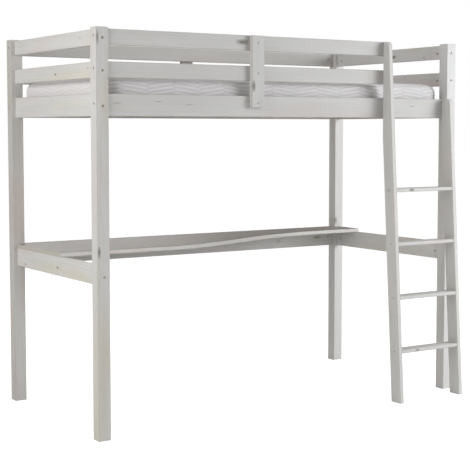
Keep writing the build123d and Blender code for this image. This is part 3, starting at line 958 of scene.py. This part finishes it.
@dataclass
class Mattress:
    """The quilted mattress: a crowned pad with a herringbone quilt and bound rims.

    Corner and rim are the radii of its plan and of its rims, in metres. Quilt_strip is the length
    of the herringbone's slanted rows, quilt_start where they begin, and quilt_end_share how deep
    they are at the mattress's ends. A level is the height in the quilting that stays in place when
    it is sewn. Margins are where the quilting of a face begins, and fades are how fast it deepens.
    """
    corner: float = 0.080
    rim: float = 0.042
    across_cells: int = 84
    along_cells: int = 126
    border_rows: int = 16
    underside_insets: tuple[float, ...] = (0.985, 0.97, 0.93)
    held_panel: float = 0.004
    held_border: float = 0.3
    pressure: float = 4.0
    frames: int = 20
    cap: float = 0.007
    tape_radius: float = 0.0025
    quilt_pitch: float = 0.0175
    quilt_strip: float = 0.1295
    quilt_start: float = 0.0866
    quilt_slope: float = 0.135
    quilt_depth: float = 0.0022
    quilt_end_share: float = 0.3
    quilt_level: float = 0.6
    crest_power: float = 0.7
    seam_dip: float = 0.35
    seam_width: float = 0.006
    border_margin: float = 0.012
    border_fade: float = 0.014
    border_reach: float = 0.03
    top_pitch: float = 0.035
    top_level: float = 0.5
    top_share: float = 1.3
    top_margin: float = 0.022
    top_fade: float = 0.020
    top_reach: float = 0.02
    fill: float = 0.9

    def __post_init__(self) -> None:
        """Take the mattress's place and size from its CAD node."""
        self.low, self.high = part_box("mattress")
        self.middle = (self.low + self.high) / 2
        self.half = (self.high - self.low) / 2

    def build(self) -> list[bpy.types.Object]:
        """Model the pad and its tapes.

        Returns:
            The pad and the two tapes.
        """
        pad = self.blank()
        self.inflate(pad)
        tapes = [self.bind(pad, "mattress_tape_top", True),
                 self.bind(pad, "mattress_tape_bottom", False)]
        self.refine(pad)
        self.quilt(pad)
        return [pad, *tapes]

    def outline_distance(self, places: np.ndarray) -> tuple[np.ndarray, np.ndarray]:
        """Distance of plan points from the rounded outline, and the outward direction there.

        Args:
            places: Points, one row each, of which X and Y count.

        Returns:
            Signed distance, negative inside, and unit directions, one row each.
        """
        offset = places[:, :2] - np.array(self.middle[:2])
        signs = np.where(offset < 0, -1.0, 1.0)
        beyond = np.abs(offset) - (np.array(self.half[:2]) - self.corner)
        outside = np.maximum(beyond, 0)
        length = np.linalg.norm(outside, axis=1)
        distance = length + np.minimum(beyond.max(axis=1), 0) - self.corner
        along_x = (beyond[:, 0] > beyond[:, 1]).astype(float)
        flat = np.stack([along_x, 1 - along_x], axis=1)
        in_corner = (beyond.min(axis=1) > 0)[:, None]
        safe = np.maximum(length, NEVER_ZERO)[:, None]
        direction = np.where(in_corner, outside / safe, flat) * signs
        return distance, direction

    def blank(self) -> bpy.types.Object:
        """Model the pad before it is filled: a gridded panel, its border and its underside.

        Returns:
            The pad, with the vertex group "rims" on its bound rims and its underside.
        """
        deselect_all()
        bpy.ops.mesh.primitive_grid_add(x_subdivisions=self.along_cells,
                                        y_subdivisions=self.across_cells,
                                        size=2.0, location=(0, 0, 0))
        pad = bpy.context.object
        pad.name = "mattress_cover"
        places = coordinates(pad)
        square = places[:, :2] * np.array(self.half[:2])
        flat_part = np.array(self.half[:2]) - self.corner
        beyond = np.maximum(np.abs(square) - flat_part, 0)
        ratio = beyond / self.corner
        rounded = beyond * np.sqrt(1 - ratio[:, ::-1] ** 2 / 2)
        square = np.sign(square) * (np.minimum(np.abs(square), flat_part) + rounded)
        places[:, 0] = square[:, 0] + self.middle.x
        places[:, 1] = square[:, 1] + self.middle.y
        places[:, 2] = self.high.z
        move_vertices(pad, places)

        bpy.ops.object.mode_set(mode="EDIT")
        bpy.ops.mesh.select_mode(type="EDGE")
        bpy.ops.mesh.select_all(action="DESELECT")
        bpy.ops.mesh.select_non_manifold()
        drop = (self.high.z - self.low.z) / self.border_rows
        for _ in range(self.border_rows):
            bpy.ops.mesh.extrude_region_move(TRANSFORM_OT_translate={"value": (0, 0, -drop)})
        for share in self.underside_insets:
            bpy.ops.mesh.extrude_region_move()
            bpy.ops.transform.resize(value=(share, share, 1), center_override=tuple(self.middle))
        bpy.ops.mesh.fill_grid(span=self.along_cells)
        bpy.ops.mesh.select_all(action="SELECT")
        bpy.ops.mesh.normals_make_consistent(inside=False)
        bpy.ops.object.mode_set(mode="OBJECT")
        self.round_rims(pad)
        return pad

    def round_rims(self, pad: bpy.types.Object) -> None:
        """Round the top and bottom rims, and mark the vertices that stay fixed when it is filled.

        Args:
            pad: The pad with square rims.
        """
        places = coordinates(pad)
        distance, direction = self.outline_distance(places)
        outline = places[:, :2] - direction * distance[:, None]
        panel_turn = np.clip(-distance / self.rim, 0, 1)
        from_top = self.high.z - places[:, 2]
        from_bottom = places[:, 2] - self.low.z
        border_turn = np.clip(np.minimum(from_top, from_bottom) / self.rim, 0, 1)
        on_panel = np.minimum(from_top, from_bottom) < SAME_LEVEL
        turn = np.where(on_panel, 1 + panel_turn, 1 - border_turn) * math.pi / 4
        inset = self.rim * (1 - np.cos(turn))
        rise = self.rim * (np.sin(turn) - 1)
        near = np.where(on_panel, -distance < self.rim, border_turn < 1)
        upper = from_top < from_bottom
        edge_z = np.where(upper, self.high.z + rise, self.low.z - rise)
        places[:, :2] = np.where(near[:, None], outline - direction * inset[:, None], places[:, :2])
        places[:, 2] = np.where(near, edge_z, places[:, 2])
        move_vertices(pad, places)
        at_tape = on_panel & (distance > -self.held_panel)
        fixed = at_tape | (~upper & (on_panel | (border_turn < self.held_border)))
        group = pad.vertex_groups.new(name="rims")
        group.add(np.flatnonzero(fixed).tolist(), 1.0, "REPLACE")

    def inflate(self, pad: bpy.types.Object) -> None:
        """Fill the pad by cloth under pressure, held at its rims, and cap how far it swells.

        Args:
            pad: The blank pad.
        """
        start = coordinates(pad)
        cloth = pad.modifiers.new("filling", "CLOTH")
        cloth.settings.quality = 3
        cloth.settings.mass = 0.4
        cloth.settings.tension_stiffness = 40
        cloth.settings.compression_stiffness = 20
        cloth.settings.bending_stiffness = 2.0
        cloth.settings.use_pressure = True
        cloth.settings.uniform_pressure_force = self.pressure
        cloth.settings.vertex_group_mass = "rims"
        cloth.settings.effector_weights.gravity = 0
        cloth.collision_settings.use_self_collision = False
        scene = bpy.context.scene
        scene.frame_start, scene.frame_end = 1, self.frames
        cloth.point_cache.frame_start, cloth.point_cache.frame_end = 1, self.frames
        for number in range(1, self.frames + 1):
            scene.frame_set(number)
        choose(pad)
        bpy.ops.object.modifier_apply(modifier=cloth.name)
        scene.frame_set(1)
        moved = coordinates(pad) - start
        length = np.linalg.norm(moved, axis=1)
        log.info("mattress swelled by up to %.1f mm before the cap", length.max() * 1000)
        limit = self.cap * np.tanh(length / self.cap) / np.maximum(length, NEVER_ZERO)
        move_vertices(pad, start + moved * limit[:, None])

    def refine(self, pad: bpy.types.Object) -> None:
        """Subdivide the filled pad once, so that it is fine enough for the quilting.

        Args:
            pad: The filled pad.
        """
        choose(pad)
        finer = pad.modifiers.new("finer", "SUBSURF")
        finer.levels = finer.render_levels = 1
        bpy.ops.object.modifier_apply(modifier=finer.name)

    def herringbone(self, along: np.ndarray, across: np.ndarray, pitch: float) -> np.ndarray:
        """Height of a herringbone quilt.

        Args:
            along: Distance along the ridges.
            across: Distance square to the ridges.
            pitch: Ridge to ridge.

        Returns:
            Height from 0 in the valleys to 1 on the crests.
        """
        strip = np.floor(along / self.quilt_strip)
        odd = np.mod(strip, 2)
        inside = along - (strip + 0.5) * self.quilt_strip
        slope = np.where(odd > 0, -1.0, 1.0) * self.quilt_slope * pitch / self.quilt_pitch
        wave = 0.5 + 0.5 * np.cos(2 * math.pi * ((across + inside * slope) / pitch + odd * 0.5))
        to_seam = self.quilt_strip / 2 - np.abs(inside)
        seam = 1 - self.seam_dip * np.exp(-(to_seam / self.seam_width) ** 2)
        return np.power(wave, self.crest_power) * seam

    def quilt(self, pad: bpy.types.Object) -> None:
        """Sew the quilting into the border and the top panel.

        Args:
            pad: The filled pad.
        """
        places = coordinates(pad)
        distance, direction = self.outline_distance(places)
        turned = np.abs(direction[:, 0]) > np.abs(direction[:, 1])
        along_side = np.where(turned, places[:, 1] - self.middle.y, places[:, 0] - self.middle.x)
        border = self.herringbone(along_side + self.quilt_start, places[:, 2] - self.low.z,
                                  self.quilt_pitch)
        top = self.herringbone(places[:, 0] - self.middle.x, places[:, 1] - self.middle.y,
                               self.top_pitch)
        from_top = self.high.z - places[:, 2]
        from_rim = np.minimum(from_top, places[:, 2] - self.low.z)
        on_border = np.clip((from_rim - self.border_margin) / self.border_fade, 0, 1)
        on_border *= (distance > -self.border_reach) * np.where(turned, self.quilt_end_share, 1)
        on_top = np.clip((-distance - self.top_margin) / self.top_fade, 0, 1)
        on_top *= from_top < self.top_reach
        outward = (border - self.quilt_level) * on_border * self.quilt_depth
        places[:, :2] += direction * outward[:, None]
        places[:, 2] += (top - self.top_level) * on_top * self.quilt_depth * self.top_share
        move_vertices(pad, places)
        # The quilt's height, kept for the cover's painted highlight and shade.
        plain = (1 - on_border - on_top) * self.quilt_level
        height = np.clip(border * on_border + top * on_top + plain, 0, 1)
        attribute = pad.data.attributes.new(QUILT_ATTRIBUTE, "FLOAT", "POINT")
        attribute.data.foreach_set("value", height.astype(np.float32))

    def bind(self, pad: bpy.types.Object, name: str, upper: bool) -> bpy.types.Object:
        """Bind one rim with a tape that follows the filled pad.

        Args:
            pad: The filled pad, before it is quilted.
            name: The tape's name.
            upper: True for the top rim, False for the bottom one.

        Returns:
            The tape.
        """
        choose(pad)
        panel = np.arange((self.along_cells + 1) * (self.across_cells + 1))
        panel = panel.reshape(self.across_cells + 1, self.along_cells + 1)
        if upper:
            rim = set(np.concatenate([panel[0], panel[-1], panel[:, 0], panel[:, -1]]).tolist())
        else:
            ring = 2 * (self.along_cells + self.across_cells)
            first = panel.size + ring * (self.border_rows - 1)
            rim = set(range(first, first + ring))
        bpy.ops.object.mode_set(mode="EDIT")
        bpy.ops.mesh.select_all(action="DESELECT")
        bpy.ops.object.mode_set(mode="OBJECT")
        for edge in pad.data.edges:
            edge.select = edge.vertices[0] in rim and edge.vertices[1] in rim
        bpy.ops.object.mode_set(mode="EDIT")
        bpy.ops.mesh.select_mode(type="EDGE")
        bpy.ops.mesh.duplicate()
        bpy.ops.mesh.separate(type="SELECTED")
        bpy.ops.object.mode_set(mode="OBJECT")
        tape = next(piece for piece in bpy.context.selected_objects if piece != pad)
        tape.name = name
        choose(tape)
        bpy.ops.object.convert(target="CURVE")
        tape.data.bevel_depth = self.tape_radius
        tape.data.bevel_resolution = 2
        bpy.ops.object.convert(target="MESH")
        bpy.ops.object.shade_smooth()
        return tape

    def dress(self, pieces: list[bpy.types.Object]) -> None:
        """Finish and attach the pad and its tapes, and hide the CAD mattress.

        Args:
            pieces: The pad and its tapes.
        """
        pad, *tapes = pieces
        choose(pad)
        bpy.ops.object.shade_smooth()
        cover(pad.data, QuiltedCover().material())
        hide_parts("mattress")
        tape_finish = Binding().material()
        for tape in tapes:
            cover(tape.data, tape_finish)
        for piece in pieces:
            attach(piece, "mattress")
            log.info("%s made, with %d faces", piece.name, len(piece.data.polygons))


# ---------------------------------------------------------------- studio

@dataclass(frozen=True)
class SoftBox:
    """A soft light: its name, place, what it points at, its size and its power."""
    name: str
    place: Point
    aim: Point
    width: float
    height: float
    power: float
    colour: tuple[float, float, float] = (1.0, 1.0, 1.0)


@dataclass
class Studio:
    """A pale floor, white surroundings, soft boxes and the camera."""
    camera_place: Point = (-3.22298, -4.97478, 1.32921)
    camera_down: float = 4.268
    camera_turn: float = 32.548
    lens: float = 92.40
    sensor: float = 36.0
    shift_up: float = -0.0359
    floor_size: float = 80.0
    white: Colour = (1.0, 1.0, 1.0, 1.0)
    seen_white: float = 1.0
    lighting_white: float = 0.12
    lights: tuple[SoftBox, ...] = (
        SoftBox("left_end_box", (-3.6, 0.3, 1.9), (-0.9, 0.1, 0.9), 1.6, 2.2, 21.0),
        SoftBox("left_front_box", (-3.4, -1.2, 2.2), (-0.9, 0.0, 1.0), 1.6, 2.2, 52.0),
        SoftBox("camera_side_box", (-3.5, -4.5, 1.8), (0.3, 0.0, 0.9), 2.0, 2.0, 12.0),
        SoftBox("right_front_box", (3.2, -3.4, 1.8), (0.9, -0.3, 0.9), 2.4, 2.4, 46.0),
        SoftBox("right_high_box", (4.2, -3.0, 2.4), (0.9, 0.0, 1.0), 2.6, 2.4, 168.0,
                colour=(0.97, 1.0, 1.05)),
        SoftBox("top_box", (0.3, 0.4, 4.6), (0.0, 0.0, 0.0), 4.0, 3.0, 52.0),
        SoftBox("back_box", (0.8, 4.4, 2.0), (0.0, 0.3, 1.0), 3.0, 2.2, 80.0),
    )

    def build(self) -> None:
        """Set up the floor, the world, the lights and the camera."""
        self.add_floor()
        self.add_surroundings()
        for light in self.lights:
            self.add_light(light)
        self.add_camera()
        bpy.context.scene.view_settings.view_transform = "Standard"

    def add_floor(self) -> None:
        """Lay the floor."""
        deselect_all()
        bpy.ops.mesh.primitive_grid_add(x_subdivisions=8, y_subdivisions=8, size=self.floor_size)
        floor = bpy.context.object
        floor.name = "studio_floor"
        floor.data.materials.append(PaleFloor().material())

    def add_surroundings(self) -> None:
        """Make the surroundings white to look at, and softer as a light."""
        world = bpy.data.worlds.new("white_surroundings")
        bpy.context.scene.world = world
        shader = Shader(world)
        lighting, seen = (
            shader.node("ShaderNodeBackground", None, {"Color": self.white, "Strength": strength})
            for strength in (self.lighting_white, self.seen_white))
        shader.by_viewer(lighting, seen, "ShaderNodeOutputWorld")

    def add_light(self, box: SoftBox) -> None:
        """Hang one soft light.

        Args:
            box: The light.
        """
        data = bpy.data.lights.new(box.name, "AREA")
        data.shape = "RECTANGLE"
        data.size, data.size_y = box.width, box.height
        data.energy = box.power
        data.color = box.colour
        light = bpy.data.objects.new(box.name, data)
        bpy.context.scene.collection.objects.link(light)
        light.location = box.place
        sight = Vector(box.aim) - Vector(box.place)
        light.rotation_euler = sight.to_track_quat("-Z", "Y").to_euler()
        light.visible_camera = False

    def add_camera(self) -> None:
        """Set up the camera."""
        data = bpy.data.cameras.new("camera")
        data.sensor_width = self.sensor
        data.lens = self.lens
        data.shift_y = self.shift_up
        camera = bpy.data.objects.new("camera", data)
        bpy.context.scene.collection.objects.link(camera)
        camera.location = self.camera_place
        camera.rotation_euler = (math.radians(90 - self.camera_down), 0,
                                 math.radians(-self.camera_turn))
        bpy.context.scene.camera = camera


def main() -> None:
    """Set up the studio, dress the frame, and make and dress the mattress."""
    Studio().build()
    for assembly in (Posts(), EndFrames(), LongRails(), Ladder(), Desk(), Slats(), Cleats(),
                     Hardware()):
        assembly.dress()
        log.info("%s done", type(assembly).__name__)
    mattress = Mattress()
    mattress.dress(mattress.build())


if __name__ == "__main__":
    main()
